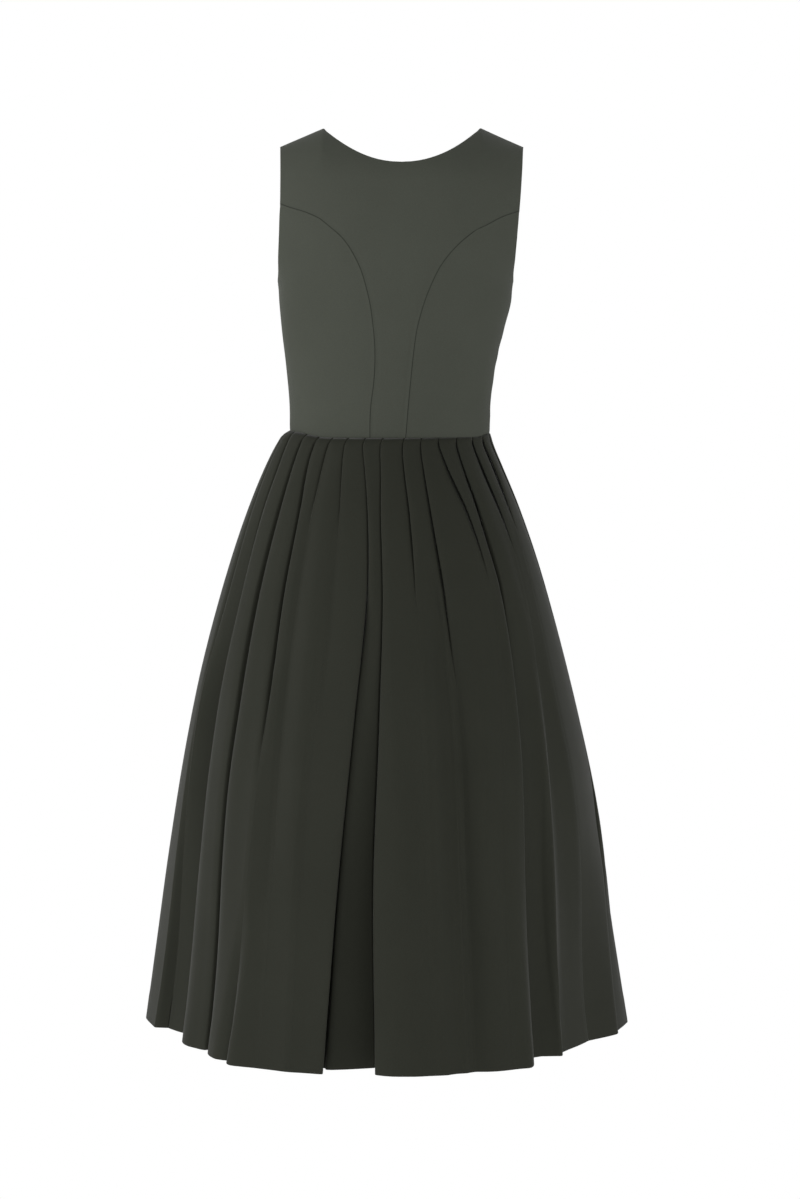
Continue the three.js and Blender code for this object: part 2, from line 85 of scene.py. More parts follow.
def alongCurve(points, shares):  # places on a smooth curve, at shares of its length
    dense = []
    for i in range(len(points) - 1):
        around = [points[max(0, i - 1)], points[i], points[i + 1], points[min(len(points) - 1, i + 2)]]
        for t in np.arange(0, 1, 0.05):
            place = []
            for a, b, c, d in zip(*around):
                into, out = (c - a) / 2, (d - b) / 2
                cubic = (2 * b - 2 * c + into + out) * t**3 + (3 * c - 3 * b - 2 * into - out) * t * t
                place.append(cubic + into * t + b)
            dense.append(place)
    dense = np.array(dense + [list(points[-1])])
    lengths = np.concatenate([[0], np.cumsum(np.linalg.norm(np.diff(dense, axis=0), axis=1))])
    wanted = np.array(shares) * lengths[-1]
    return np.stack([np.interp(wanted, lengths, dense[:, axis]) for axis in (0, 1)], axis=1)


edgeSteps = [0, 0.15, 0.35, 0.65, 1.1, 1.8, 3, 5]  # how far from a cut edge its finest rows lie


# Shares of an edge of that length: a number of even steps, with the finest rows beyond them.
def finerAtEnds(count, length, atStart=True, atEnd=True):
    near = [step / length for step in edgeSteps]
    start = near if atStart else [0]
    end = [1 - share for share in reversed(near)] if atEnd else [1]
    middle = [float(share) for share in np.linspace(start[-1], end[0], count + 1)]
    return start[:-1] + middle + end[1:]


def nodeOf(name):  # backSideLeft stands for the node back_side_left
    return "".join("_" + letter.lower() if letter.isupper() else letter for letter in name)


# One sheet of cloth: a grid of points gets its wall, in full where its share is 1. The cut places
# are the same points on the flat cloth, for the weave.
def clothMesh(name, points, wallShares, cutPlaces, wall, paintedSeamShades=None):
    rows, columns = len(points), len(points[0])
    vertices = [[c / 1000 for c in point] for row in points for point in row]
    faces = []
    for j in range(rows - 1):
        for i in range(columns - 1):
            corner = j * columns + i
            faces.append((corner, corner + 1, corner + columns + 1, corner + columns))
    mesh = bpy.data.meshes.new(name)
    mesh.from_pydata(vertices, [], faces)
    layer = mesh.uv_layers.new(name="cut")
    flat = np.array([place for row in cutPlaces for place in row]) / 1000
    order = np.zeros(len(mesh.loops), int)
    mesh.loops.foreach_get("vertex_index", order)
    layer.data.foreach_set("uv", flat[order].ravel())
    # painted shade: how far each point's colour is darkened towards the seam colour, for the shadow down
    # in a seam
    shades = mesh.attributes.new("seamShade", "FLOAT", "POINT")
    if paintedSeamShades is not None:
        shades.data.foreach_set("value", np.array(paintedSeamShades, float).ravel())
    piece = bpy.data.objects.new(name, mesh)
    bpy.context.scene.collection.objects.link(piece)
    group = piece.vertex_groups.new(name="wall")
    for index, share in enumerate(share for row in wallShares for share in row):
        group.add([index], float(share), "REPLACE")
    shell = piece.modifiers.new("wall", "SOLIDIFY")
    shell.thickness = wall / 1000
    shell.offset = 0
    shell.vertex_group = "wall"
    bpy.context.view_layer.objects.active = piece
    piece.select_set(True)
    bpy.ops.object.modifier_apply(modifier="wall")
    bpy.ops.object.shade_smooth()
    piece.select_set(False)
    return piece


# A socket of a shader that can be added to, multiplied and so on.
class Wire:
    def __init__(self, shader, socket):
        self.shader, self.socket = shader, socket

    def combined(self, operation, first, second):
        return self.shader.node("ShaderNodeMath", {"operation": operation}, {0: first, 1: second})

    def __add__(self, other):
        return self.combined("ADD", self, other)

    def __sub__(self, other):
        return self.combined("SUBTRACT", self, other)

    def __rsub__(self, other):
        return self.combined("SUBTRACT", other, self)

    def __mul__(self, other):
        return self.combined("MULTIPLY", self, other)

    __radd__ = __add__
    __rmul__ = __mul__


class Shader:  # the nodes of a material or of the world
    def __init__(self, owner):
        owner.use_nodes = True
        self.tree = owner.node_tree

    def node(self, kind, settings=None, sockets=None, output=0):
        made = self.tree.nodes.new(kind)
        for key, value in (settings or {}).items():
            if key == "stops":
                while len(made.color_ramp.elements) < len(value):
                    made.color_ramp.elements.new(0.5)
                for element, (place, colour) in zip(made.color_ramp.elements, value):
                    element.position, element.color = place, colour
            else:
                setattr(made, key, value)
        self.feed(made, sockets or {})
        return Wire(self, made.outputs[output])

    def feed(self, node, sockets):
        for key, value in sockets.items():
            if isinstance(value, Wire):
                self.tree.links.new(value.socket, node.inputs[key])
            else:
                node.inputs[key].default_value = value


# What the two cloths have alike: how their threads waver, and the relief of the weave.
weave = {
    "bandLength": 0.3142,  # metres between the bands of a wave texture of scale 1
    "waver": 0.6,
    "waverScale": 1.5,
    "fibreScale": 900.0,
    "wornScale": 14.0,
    "wornRange": 0.12,  # how much the roughness changes from place to place
    "twillHeight": 0.6,
    "weftHeight": 0.25,
    "fibreHeight": 0.5,
    "depth": 0.0004,
}


def weaveMaterial(name, look):
    material = bpy.data.materials.new(name)
    shader = Shader(material)
    cut = shader.node("ShaderNodeUVMap", {"uv_map": "cut"})
    place = shader.node("ShaderNodeTexCoord", output="Object")

    def cloudy(scale, detail):
        values = {"Vector": place, "Scale": scale, "Detail": detail, "Roughness": 0.55}
        return shader.node("ShaderNodeTexNoise", {}, values, output="Fac")

    def ribs(turn, period):  # parallel threads across the cut
        turned = shader.node(
            "ShaderNodeMapping",
            {"vector_type": "POINT"},
            {"Vector": cut, "Rotation": (0, 0, math.radians(turn))},
        )
        values = {"Vector": turned, "Scale": weave["bandLength"] / period, "Detail": 1.0}
        values |= {"Distortion": weave["waver"], "Detail Scale": weave["waverScale"]}
        return shader.node("ShaderNodeTexWave", {"wave_profile": "SIN"}, values, output="Fac")

    twill = ribs(look["twillAngle"], look["twillPeriod"])
    weft = ribs(90, look["threadPeriod"])
    cloud = cloudy(look["cloudScale"], 3.0)
    fibre = cloudy(weave["fibreScale"], 2.0)
    worn = cloudy(weave["wornScale"], 4.0)
    tone = (cloud - 0.5) * look["cloudTone"] + (fibre - 0.5) * look["fibreTone"]
    tone = tone + (twill - 0.5) * look["twillTone"] + (weft - 0.5) * look["twillTone"] * 0.5
    ramp = [(0.0, (*look["deep"], 1)), (0.5, (*look["colour"], 1)), (1.0, (*look["light"], 1))]
    # Painted shade: near the seams the colour goes towards the dark seam colour, standing in for the
    # shadow down in each seam and a little lint.
    seam = shader.node("ShaderNodeAttribute", {"attribute_name": "seamShade"}, output="Fac")
    cloth = shader.node("ShaderNodeValToRGB", {"stops": ramp}, {"Fac": tone + 0.5})
    colour = shader.node(
        "ShaderNodeMix",
        {"data_type": "RGBA"},
        {"Factor": seam, "A": cloth, "B": (*look["seam"], 1)},
        output="Result",
    )
    height = twill * weave["twillHeight"] + weft * weave["weftHeight"] + fibre * weave["fibreHeight"]
    relief = shader.node(
        "ShaderNodeBump",
        {},
        {"Strength": look["relief"], "Distance": weave["depth"], "Height": height},
    )
    surface = {"Base Color": colour, "Normal": relief}
    surface["Roughness"] = (worn - 0.5) * weave["wornRange"] + look["roughness"]
    shader.feed(shader.tree.nodes["Principled BSDF"], surface | look["constants"])
    return material


# The camera stands where the dress is seen straight from behind, from a little above its waist.
camera = {"across": -2.6, "away": 4210, "height": -263, "tilt": 4.73, "lens": 96.74}
bpy.ops.object.camera_add(
    location=(camera["across"] / 1000, -camera["away"] / 1000, camera["height"] / 1000),
    rotation=(math.radians(90 - camera["tilt"]), 0, 0),
)
bpy.context.scene.camera = bpy.context.object
bpy.context.object.data.lens = camera["lens"]
bpy.ops.object.select_all(action="DESELECT")
print("camera placed")

# The bodice: level sections of the body it is cut for, and the routes of its seams on it.
bodice = {
    "wall": 1.3,
    "seamGap": -0.1,  # below 0 the panels meet closely, as sewn
    "thinnest": 0.12,  # the share of the wall that is left at a rounded edge
    "shoulderHalf": 157.5,
    "neckHalf": 102,
    "shoulderFall": 24,
    "shoulderRound": 70,
    "rootHalf": 172,
    "rootSquareness": 2.5,
    "underarm": -200,
    "waist": -397,
    "backNeck": -47,
    "frontNeck": -112,
    "neckRoundness": 2.1,  # how sharply the neckline turns up to the shoulder
    "seamDepth": 0.35,  # how deep a pressed seam sinks
    "seamWidth": 0.9,
    "seamShade": 0.7,  # how dark the painted shade down in a seam is, and how near to it
    "seamLine": 0.4,
    "allowanceRise": 0.25,  # the allowance pressed open beneath each side of a seam
    "allowanceAway": 4.5,
    "allowanceWidth": 2.2,
    "unevenness": 0.7,
    "waistProud": 0.5,  # how far the lower edge stands out over the skirt, and how near to it
    "waistBand": 3,
    "liftLeft": 7,  # how far the waist rises at the sides
    "liftRight": 3.5,
}
torso = tableOf(
    "z halfWidth back front centre squareness",
    [
        (-397, 130, 90, 94, -16, 2.0),
        (-355, 130.5, 92, 97, -15.5, 2.02),
        (-303, 136, 97, 106, -14.5, 2.06),
        (-263, 142.8, 103, 114, -12.5, 2.1),
        (-224, 150, 109, 119, -9, 2.16),
        (-200, 152.3, 112, 119, -8.5, 2.2),
        (-165, 164, 113, 114, -6.5, 2.3),
        (-125, 171, 112, 107, -4, 2.4),
        (-60, 172, 106, 96, -1, 2.5),
        (0, 172, 98, 88, 0, 2.5),
    ],
)
bust = {"across": 88, "z": -226, "out": 25, "reach": 50, "above": 78, "below": 54}
backPrincess = {  # the left and the right seam of the back, which aren't quite alike
    -1: tableOf(
        "across z",
        [(25, -397), (24.5, -360), (20.5, -320), (21, -280), (28, -240), (36.5, -206)]
        + [(49, -174), (68, -145.5), (92, -125), (122, -109), (152.8, -98)],
    ),
    1: tableOf(
        "across z",
        [(20.5, -397), (23.5, -355), (27, -310), (31, -258), (37, -225), (45.5, -202)]
        + [(60, -172), (81, -147), (108, -128), (132, -115), (153, -107)],
    ),
}
backArmholeAbove = tableOf("across z", [(154.5, -64), (157.5, -24)])
backArmholeBelow = tableOf("across z", [(152.4, -134), (152.2, -165), (151.6, -187), (152.3, -200)])
frontPrincess = tableOf(
    "across z",
    [(60, -397), (67, -340), (78, -285), (87, -230), (98, -180), (118, -138), (143.5, -112)],
)
frontArmholeAbove = tableOf("across z", [(143.5, -112), (144.5, -85), (149, -54), (157.5, -24)])
frontArmholeBelow = tableOf(
    "across z", [(143.5, -112), (144.5, -140), (149, -168), (151.4, -188), (152.3, -200)]
)
# Soft creases, as ridges where height is above 0: side is -1 at the back, turn is from level.
bodiceCreases = tableOf(
    "side across z length turn width height",
    [
        (-1, -98, -372, 46, 12, 7, -0.9),
        (-1, -84, -352, 36, -20, 8, 0.6),
        (-1, 96, -366, 44, -16, 7, -0.9),
        (-1, 104, -330, 40, 28, 9, -0.8),
        (-1, 86, -344, 34, 18, 8, 0.6),
        (-1, 0, -381, 60, 3, 8, -0.5),
        (-1, -128, -236, 30, 62, 9, -0.6),
        (-1, 126, -262, 34, -60, 9, -0.7),
        (-1, 60, -86, 60, 20, 14, -0.6),
        (-1, -64, -92, 56, -16, 14, -0.6),
        (1, -92, -368, 46, 10, 7, -0.9),
        (1, 90, -362, 44, -14, 7, -0.9),
        (1, 40, -384, 40, 4, 6, -0.6),
        (1, -34, -376, 44, -6, 7, -0.6),
        (1, -118, -300, 30, 40, 9, -0.7),
        (1, 120, -292, 34, -44, 9, -0.7),
    ],
)
radianLength = 140  # a turn round the bodice is measured as millimetres at this radius
sections = {}  # the torso's sections that are already worked out


def topFall(across):
    run = bodice["shoulderHalf"] - bodice["neckHalf"]
    return bodice["shoulderFall"] * max(0, abs(across) - bodice["neckHalf"]) / run


def shoulderTop(turn):
    return -topFall(bodice["rootHalf"] * abs(math.sin(turn)) ** (2 / bodice["rootSquareness"]))


def torsoAt(z):
    key = round(z, 3)
    if key not in sections:
        sections[key] = {column: readTable(torso, "z", column, z) for column in torso[0]}
    return sections[key]


# A point of the bodice: x is its turn from the middle and y its way down from the shoulder, on
# the back where side is -1 and on the front where it is 1.
def bodicePoint(side, x, y):
    turn, down = x / radianLength, max(0, y)
    roll = bodice["shoulderRound"]
    rolled = min(down / roll, math.pi / 2)
    straight = max(0, down - roll * math.pi / 2)
    z = shoulderTop(turn) - roll * (1 - math.cos(rolled)) - straight
    section = torsoAt(z)
    power = 2 / section["squareness"]
    across = math.copysign(section["halfWidth"] * abs(math.sin(turn)) ** power, turn)
    depth = section["back" if side < 0 else "front"] * max(0, math.cos(turn)) ** power
    if side > 0:
        high = (z - bust["z"]) / (bust["above"] if z > bust["z"] else bust["below"])
        wide = (abs(across) - bust["across"]) / bust["reach"]
        depth += bust["out"] * math.exp(-wide * wide - high * high) * math.cos(turn)
    return Vector((section["centre"] + across, side * depth * math.sin(rolled), z))


def bodiceNormal(side, x, y):
    y = max(0.5, y)
    alongX = bodicePoint(side, x + 0.5, y) - bodicePoint(side, x - 0.5, y)
    alongY = bodicePoint(side, x, y + 0.5) - bodicePoint(side, x, y - 0.5)
    return (alongX.cross(alongY) * -side).normalized()


def placeOf(across, z):  # the other way: the turn and the way down of a point
    section = torsoAt(z)
    share = min(1, abs(across) / section["halfWidth"])
    turn = math.asin(share ** (section["squareness"] / 2))
    fall = max(0, shoulderTop(turn) - z - 0.05)  # the shoulder seam itself is at 0
    roll = bodice["shoulderRound"]
    down = roll * math.acos(1 - fall / roll) if fall < roll else roll * math.pi / 2 + fall - roll
    return (math.copysign(turn * radianLength, across), down)


def route(rows, shares, mirror=1):
    return alongCurve([placeOf(mirror * row["across"], row["z"]) for row in rows], shares)


def joined(*parts):
    return np.concatenate([parts[0]] + [part[1:] for part in parts[1:]])


def neckAndShoulder(lowest, neckShares, shoulderShares, mirror=1):
    curve = []
    for share in np.linspace(0, 1, 25):
        rise = share ** bodice["neckRoundness"]
        curve.append(placeOf(mirror * bodice["neckHalf"] * share, mix(lowest, 0, rise)))
    shoulder = []
    for share in shoulderShares:
        across = mix(bodice["neckHalf"], bodice["shoulderHalf"], share)
        shoulder.append((placeOf(mirror * across, -topFall(across))[0], 0))
    return joined(alongCurve(curve, neckShares), np.array(shoulder))


def lengthShares(edge):
    steps = np.linalg.norm(np.diff(edge, axis=0), axis=1)
    return np.concatenate([[0], np.cumsum(steps)]) / steps.sum()


# A panel between four edges: the top edge's own shape comes in above the row topStart.
def panelPlaces(bottom, right, top, left, shares, topStart=0):
    rows = []
    last = len(right) - 1
    heights = lengthShares(right[topStart:])
    for j in range(last + 1):
        v = heights[j - topStart] if j >= topStart else 0
        ends = np.outer(1 - shares, mix(bottom[0], top[0], v)) + np.outer(
            shares, mix(bottom[-1], top[-1], v)
        )
        sides = np.outer(1 - shares, left[j]) + np.outer(shares, right[j])
        rows.append(mix(bottom, top, v) + sides - ends)
    return np.array(rows)


def distanceTo(points, line):  # from each point to the nearest stretch of a line
    best = np.full(len(points), 1e9)
    for a, b in zip(line, line[1:]):
        along = b - a
        t = np.clip(((points - a) @ along) / max(1e-9, along @ along), 0, 1)
        best = np.minimum(best, np.linalg.norm(points - a - np.outer(t, along), axis=1))
    return best


def creaseHeight(side, point):  # how far the bodice stands out or in at a point
    height = 0
    for crease in bodiceCreases:
        if crease["side"] != side:
            continue
        turn = math.radians(crease["turn"])
        x, z = point.x - crease["across"], point.z - crease["z"]
        along, off = x * math.cos(turn) + z * math.sin(turn), z * math.cos(turn) - x * math.sin(turn)
        height += crease["height"] * bell(along, crease["length"] / 2) * bell(off, crease["width"])
    uneven = noise.noise(Vector((point.x / 60, point.y / 60, point.z / 75)))
    return height + uneven * bodice["unevenness"]


# A panel from its places. The seams are stretches of its edges, from one point to another.
def bodicePanel(panel, hand, side, places, seams):
    name = panel + hand
    rows, columns = places.shape[:2]
    surface = [[bodicePoint(side, *place) for place in row] for row in places]
    points = np.array([list(point) for row in surface for point in row])
    grid = points.reshape(rows, columns, 3)
    edges = {"bottom": grid[0], "right": grid[:, -1], "top": grid[-1], "left": grid[:, 0]}
    toEdge = np.min([distanceTo(points, line) for line in edges.values()], axis=0)
    sewn = [edges[edge][first:last] for edge, first, last in seams]
    toSeam = np.min([distanceTo(points, line) for line in sewn], axis=0)
    toWaist = distanceTo(points, edges["bottom"])
    gap, wall = bodice["seamGap"] / 2, bodice["wall"]
    shares, finished = [], []
    # Painted shade along the seams, darkest right at the seam line, for the shadow down in each seam and
    # a little lint.
    shades = bodice["seamShade"] * np.exp(-((toSeam / bodice["seamLine"]) ** 2)).reshape(rows, columns)
    for j in range(rows):
        shares.append([])
        finished.append([])
        for i in range(columns):
            index = j * columns + i
            near = min(1, toEdge[index] / (wall / 2))
            shares[j].append(max(bodice["thinnest"], math.sqrt(max(0, 1 - (1 - near) ** 2))))
            out = creaseHeight(side, surface[j][i])
            out -= bodice["seamDepth"] * bell(toSeam[index], bodice["seamWidth"])
            beside = toSeam[index] - bodice["allowanceAway"]
            out += bodice["allowanceRise"] * bell(beside, bodice["allowanceWidth"])
            out += bodice["waistProud"] * bell(toWaist[index], bodice["waistBand"])
            normal = bodiceNormal(side, *places[j, i])
            finished[j].append(surface[j][i] + normal * out)
    # Each edge moves in by half the seam gap, or out where the gap is below 0.
    for j in range(rows):
        for end, inner in ((0, 3), (columns - 1, columns - 4)):
            inward = finished[j][inner] - finished[j][end]
            finished[j][end] = finished[j][end] + inward.normalized() * min(gap, inward.length * 0.3)
    for i in range(columns):
        for end, inner in ((0, 3), (rows - 1, rows - 4)):
            inward = finished[inner][i] - finished[end][i]
            finished[end][i] = finished[end][i] + inward.normalized() * min(gap, inward.length * 0.3)
    flip = places[0, -1][0] > places[0, 0][0]  # the rows run so that the faces point outwards
    if (side < 0) != flip:
        finished = [row[::-1] for row in finished]
        shares = [row[::-1] for row in shares]
        places, shades = places[:, ::-1], shades[:, ::-1]
    piece = clothMesh(name, finished, shares, places, wall, shades)
    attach(piece, "root")
    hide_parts(nodeOf(name))
    return piece


def waistLift(share):  # how far the waist rises at a share of the way out to a side
    rise, start = (bodice["liftLeft"], 0.6) if share < 0 else (bodice["liftRight"], 0.85)
    return rise * smoothStep(start, 1, abs(share))


def waistLine(start, end, shares):
    across = [mix(start, end, share) for share in shares]
    half = torso[0]["halfWidth"]
    return np.array([placeOf(x, bodice["waist"] + waistLift(x / half)) for x in across])


# The points along each kind of edge, from their even steps and the edge's length.
princessShares = finerAtEnds(40, 330, atEnd=False)
aboveShares = finerAtEnds(12, 75, atStart=False)
belowShares = finerAtEnds(16, 110)
neckShares = finerAtEnds(22, 170, atStart=False)
shoulderShares = finerAtEnds(10, 55)


def centreBackPlaces():
    half = neckAndShoulder(bodice["backNeck"], neckShares, shoulderShares)
    other = neckAndShoulder(bodice["backNeck"], neckShares, shoulderShares, -1)
    top = joined(other[::-1], half)

    def sideEdge(mirror):
        seam = backPrincess[mirror]
        lower = route(seam, princessShares, mirror)
        return joined(lower, route(seam[-1:] + backArmholeAbove, aboveShares, mirror))

    shares = lengthShares(top)
    bottom = waistLine(-backPrincess[-1][0]["across"], backPrincess[1][0]["across"], shares)
    corner = len(princessShares) - 1
    return panelPlaces(bottom, sideEdge(1), top, sideEdge(-1), shares, corner)


def sidePanelPlaces(princess, armhole, mirror):
    top = route(armhole, belowShares, mirror)
    shares = np.array(belowShares)
    outerFoot = mirror * torso[0]["halfWidth"]
    bottom = waistLine(mirror * princess[0]["across"], outerFoot, shares)
    upShares = finerAtEnds(40, 300)
    inner = route(princess, upShares, mirror)
    outer = []
    for share in upShares:
        z = mix(bodice["waist"] + waistLift(mirror), bodice["underarm"], share)
        outer.append(placeOf(mirror * torsoAt(z)["halfWidth"], z))
    return panelPlaces(bottom, np.array(outer), top, inner, shares)


def centreFrontPlaces(mirror):
    top = neckAndShoulder(bodice["frontNeck"], finerAtEnds(24, 200), shoulderShares, mirror)
    lower = route(frontPrincess, princessShares, mirror)
    outer = joined(lower, route(frontArmholeAbove, aboveShares, mirror))
    heights = lengthShares(outer)
    inner = np.array([placeOf(0, mix(bodice["waist"], bodice["frontNeck"], share)) for share in heights])
    inner[:, 0] = 0
    shares = lengthShares(top)
    bottom = waistLine(0, mirror * frontPrincess[0]["across"], shares)
    return panelPlaces(bottom, outer, top, inner, shares, len(princessShares) - 1)


def makeBodice(cloth):
    corner, shoulderSteps = len(princessShares), len(shoulderShares)
    shoulderSeam = ("top", -shoulderSteps, None)
    sideSeams = [("left", None, None), ("right", None, None)]
    backSeams = [("left", None, corner), ("right", None, corner)]
    backSeams += [("top", None, shoulderSteps), shoulderSeam]
    frontSeams = [("left", None, None), ("right", None, corner), shoulderSeam]
    made = [bodicePanel("backCentre", "", -1, centreBackPlaces(), backSeams)]
    for mirror, hand in ((-1, "Left"), (1, "Right")):
        back = backPrincess[mirror]
        places = sidePanelPlaces(back, back[-1:] + backArmholeBelow, mirror)
        made.append(bodicePanel("backSide", hand, -1, places, sideSeams))
        places = sidePanelPlaces(frontPrincess, frontArmholeBelow, mirror)
        made.append(bodicePanel("frontSide", hand, 1, places, sideSeams))
        made.append(bodicePanel("frontCentre", hand, 1, centreFrontPlaces(mirror), frontSeams))
    for piece in made:
        piece.data.materials.append(cloth)
    print("bodice made:", len(made), "panels")


bodiceLook = {
    "colour": (0.082, 0.089, 0.071),
    "deep": (0.067, 0.073, 0.058),
    # seam: the colour of the painted shade down in the seams
    "seam": (0.012, 0.013, 0.01),
    "light": (0.098, 0.106, 0.086),
    "twillAngle": 38,
    "twillPeriod": 0.0009,
    "threadPeriod": 0.0007,
    "cloudScale": 9.0,
    "cloudTone": 0.5,
    "fibreTone": 0.9,
    "twillTone": 0.25,
    "relief": 0.35,
    "roughness": 0.82,
    "constants": {"Sheen Weight": 0.14, "Sheen Roughness": 0.3, "Specular IOR Level": 0.2},
}
makeBodice(weaveMaterial("bodiceCloth", bodiceLook))

# The skirt: how it spreads from waist to hem, and its pleats, one row each.
skirt = {
    "flat": (1.31, 0.8),  # the net cut of each half, in metres
    "area": 0.96,
    "wall": 1.0,
    "hemWall": 1.7,  # the wall where the hem is turned up, and how far up that is
    "hemDepth": 38,
    "top": -397.3,
    "hem": -1174,
    "rows": 92,
    "crowding": 1.18,  # above 1 the rows are closer together near the waist
    "layerStep": 1.6,  # from layer to layer of a folded pleat at the waist
    "foldedTuck": 24.4,  # how far a folded pleat reaches under its neighbour
    "waistMouth": 1.3,
    "standingMouth": 5,  # how far a pleat opens at the hem, where it stands and where it lies flat
    "flatMouth": 4,
    "clearance": 3,  # what stays free between one folded pleat and the next
    "dip": 4,  # how far a panel slants in under the fold that overlaps it
    "seamGap": 0.3,
    "foldRadius": 2.4,
    "softRadius": 8,  # what an opened pleat adds to it
    "crestBase": 5,  # how wide a panel's rounding beside a pleat is,
    "crestRun": 2.6,  # and how much wider for each millimetre that it falls
    "unevenness": 2.2,
}
hemSteps = (4, 2.2, 1.1, 0.5, 0.15, 0)  # how far above the hem its finest rows lie
skirtWaist = {"halfWidth": 130.6, "back": 90.6, "front": 94.6}
skirtHem = {"halfWidth": 321, "back": 313, "front": 308}
skirtSpread = tableOf(
    "share spread centre",
    [
        (0, 0, -16),
        (0.007, 0.03, -19.5),
        (0.02, 0.058, -21.5),
        (0.05, 0.117, -23),
        (0.12, 0.24, -23.2),
        (0.22, 0.386, -22.7),
        (0.36, 0.547, -22.2),
        (0.5, 0.673, -21),
        (0.7, 0.815, -19.6),
        (0.85, 0.906, -19),
        (1, 1, -18.5),
    ],
)
# Angles are from the middle of the back, at the shares of the way down in foldShares. The pleat
# is folded down to the share opens and lies flat from the share flat on (2: never). depth and
# lean say how it stands at the hem, left and right how far the panels beside it are set back
# there, from the share sets on.
foldShares = (0, 0.05, 0.12, 0.25, 0.45, 0.7, 1)
folds = tableOf(
    "angles opens flat depth lean left right sets",
    [
        ((-82, -80, -78, -75, -75, -78, -83), 0.2, 0.45, 0, 0, 14, 32, 0.4),
        ((-69, -66, -66, -65.5, -69, -69, -67.5), 0.6, 2, 10, 0.65, 58, 26, 0),
        ((-54, -52.5, -52, -52, -51, -51.5, -53), 0.6, 2, 9, 0.75, 26, 28, 0.5),
        ((-43, -41.5, -39, -38.5, -37, -37, -41), 0.3, 0.56, 0, 0, 8, -6, 0.7),
        ((-33, -32, -31.5, -31, -31, -30, -30), 0, 0.16, 0, 0, 2, 2, 0.25),
        ((-23, -20.5, -18.5, -18, -20, -22, -22), 0.02, 0.17, 0, 0, 3, 3, 0.25),
        ((-13, -9, -6.5, -5.5, -8.5, -11.8, -14.2), 0.06, 2, 8, -1, 2, 22, 0.25),
        ((-3, -1.3, -1, -0.3, -1.5, -3.2, -2.6), 0.3, 2, 6, 0.75, 44, 0, 0.25),
        ((9, 10, 11, 11, 10.5, 10, 10), 0.12, 0.28, 0, 0, 0, 0, 0.25),
        ((19, 19.7, 20.3, 21.7, 23, 21.5, 20), 0.18, 0.4, 0, 0, 0, 0, 0.25),
        ((29, 33, 38, 40, 36, 31, 29), 0.06, 0.24, 0, 0, 0, 0, 0.25),
        ((41.5, 43, 45, 46.5, 43, 39, 36.2), 0.06, 2, 8, -1, 0, 40, 0.25),
        ((55, 57.5, 59, 58, 54, 49.5, 48.5), 0.04, 0.2, 0, 0, 36, 36, 0.25),
        ((67, 70, 67.5, 64.5, 62.5, 66, 66), 0.03, 0.16, 0, 0, 38, 38, 0.5),
        ((80, 85, 90, 94, 94, 87.5, 78.5), 0.5, 2, 10, -0.3, 12, 16, 0.5),
        ((95, 98, 101, 103, 103, 101, 98), 0.2, 0.5, 0, 0, 0, 0, 0.25),
        ((107, 108, 109.5, 110, 110, 109.5, 109), 0.6, 2, 9, 0.4, 0, 10, 0.25),
        ((120, 122, 123.5, 124, 124, 124.5, 125), 0.34, 2, 8, 0.3, 24, 0, 0.25),
        ((132, 133.5, 134.5, 135, 135.5, 136, 137), 0.14, 0.36, 0, 0, 0, 0, 0.25),
        ((143, 144, 145, 145, 145.5, 146, 147), 0.08, 0.3, 0, 0, 2, 4, 0.25),
        ((153.5, 154, 154, 154, 154.5, 155, 156), 0.1, 2, 8, -0.3, 0, 26, 0.25),
        ((164, 165, 166, 166, 167, 168, 169), 0.4, 2, 8, 0.3, 24, 0, 0.25),
        ((174.5, 175, 176, 176, 176.5, 177, 178), 0.14, 0.4, 0, 0, 0, 0, 0.25),
        ((185, 186, 187, 187, 187, 187.5, 188), 0.2, 0.44, 0, 0, 0, 0, 0.25),
        ((195.5, 196, 197, 197, 197.5, 198, 198), 0.38, 0.7, 0, 0, 3, 4, 0.25),
        ((206.5, 208, 209, 209, 209.5, 210, 210), 0.5, 2, 10, 0.4, 4, 22, 0.25),
        ((218, 219, 220, 220, 221, 221.5, 222), 0.1, 0.36, 0, 0, 14, 10, 0.25),
        ((230.5, 232, 233, 233, 233.5, 234, 235), 0.4, 2, 9, 0.3, 6, 8, 0.25),
        ((244, 246, 247, 247, 247.5, 248, 248), 0.24, 0.5, 0, 0, 6, 4, 0.25),
        ((260, 262, 263, 263, 262.5, 262, 261), 0.44, 2, 8, 0.4, -4, -8, 0.25),
    ],
)
foldPaths = [
    [{"share": share, "angle": angle} for share, angle in zip(foldShares, fold["angles"])]
    for fold in folds
]
# How far the panels round over beside each pleat, on its left and right, near the waist and at
# the hem, and how far the deeper panel slides under the other at the hem.
roundings = tableOf(
    "topLeft topRight hemLeft hemRight under",
    [
        (2, 8, 0, 0, 0),
        (3, 14, 3, 10, 0),
        (3, 15, 3, 10, 0),
        (3, 15, 6, 22, 0),
        (2, 10, 0, 0, 0),
        (2, 3, 0, 0, 0),
        (1, 2, 1, 2, 5),
        (1, 2, 0, 10, 0),
        (3, 2, 0, 0, 0),
        (4, 2, 0, 0, 0),
        (8, 2, 0, 0, 0),
        (8, 3, 13, 2, 9),
        (9, 3, 0, 0, 0),
        (9, 2, 0, 0, 0),
        (3, 2, 2, 2, 0),
        (3, 4, 2, 2, 0),
        (2, 5, 2, 8, 0),
        (2, 5, 0, 9, 0),
        (2, 4, 0, 0, 0),
        (2, 3, 0, 0, 0),
        (2, 3, 4, 2, 10),
        (2, 2, 2, 9, 0),
        (3, 2, 0, 0, 0),
        (3, 2, 0, 0, 0),
        (4, 2, 2, 2, 0),
        (5, 2, 9, 2, 0),
        (5, 2, 0, 0, 0),
        (5, 2, 8, 2, 0),
        (4, 3, 2, 2, 0),
        (3, 5, 2, 8, 0),
    ],
)
